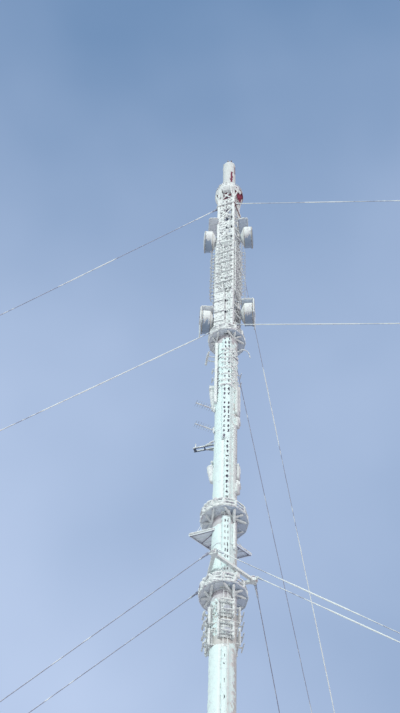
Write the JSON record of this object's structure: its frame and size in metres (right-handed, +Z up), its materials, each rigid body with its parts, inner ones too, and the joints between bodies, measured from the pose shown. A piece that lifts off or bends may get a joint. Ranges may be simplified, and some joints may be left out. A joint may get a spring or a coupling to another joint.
{
  "type": "guyed radio mast scale model",
  "caption": "Tall guyed tube mast at a scale of 1:10 with a lattice top, round decks, drum aerials, dipole screens, a torsion frame and guy ropes to concrete anchors.",
  "frame": {"origin": "centre of the base block's bottom face, on the mast's axis at ground level", "axes": "+Z up along the mast, +Y towards the rear guy anchors, +X to the right of them"},
  "size_m": [25.901, 22.4309, 22.43],
  "materials": {
    "white_steel": "white paint under a thick coat of rime",
    "deck_steel": "pale grey paint, bare of rime underneath",
    "red_steel": "dark red paint, partly under rime",
    "cover_plastic": "glass-fibre cover with rime and red paint",
    "lamp_plastic": "red lamp covers",
    "drum_metal": "grey paint, rime on the upper half",
    "aerial_metal": "dull metal rods under rime",
    "plain_steel": "dull galvanised plate",
    "rope_steel": "stranded wire, partly under rime",
    "concrete": "cast concrete, formed faces"
  },
  "bodies": {
    "root": {"shaft_foot": "white_steel", "shaft_bottom": "white_steel", "shaft_lower": "white_steel", "shaft_middle": "white_steel", "shaft_upper": "white_steel", "access_ladder": "white_steel", "lattice_legs": "white_steel", "lattice_front": "white_steel", "lattice_back": "white_steel", "lattice_left": "white_steel", "lattice_right": "white_steel", "head_rail": "white_steel", "upper_deck_rail": "white_steel", "upper_deck_struts": "white_steel", "mid_deck_rail": "white_steel", "mid_deck_struts": "white_steel", "lower_deck_rail": "white_steel", "lower_deck_struts": "white_steel", "torsion_frame": "white_steel", "side_outrigger": "white_steel", "side_cabinets": "white_steel", "cable_duct": "white_steel", "upper_deck": "deck_steel", "mid_deck": "deck_steel", "lower_deck": "deck_steel", "rear_platform": "deck_steel", "ice_shields": "deck_steel", "head_platform": "red_steel", "guy_brackets": "red_steel", "head_cylinder": "cover_plastic", "head_lamps": "lamp_plastic", "drum_aerials": "drum_metal", "panels_front": "aerial_metal", "panels_back": "aerial_metal", "panels_left": "aerial_metal", "panels_right": "aerial_metal", "fm_dipoles": "aerial_metal", "yagi_antennas": "aerial_metal", "small_aerials": "aerial_metal", "base_bearing": "plain_steel", "anchor_plates": "plain_steel", "guys_outer": "rope_steel", "guys_inner": "rope_steel", "base_block": "concrete", "anchor_blocks": "concrete"}
  },
  "joints": []
}
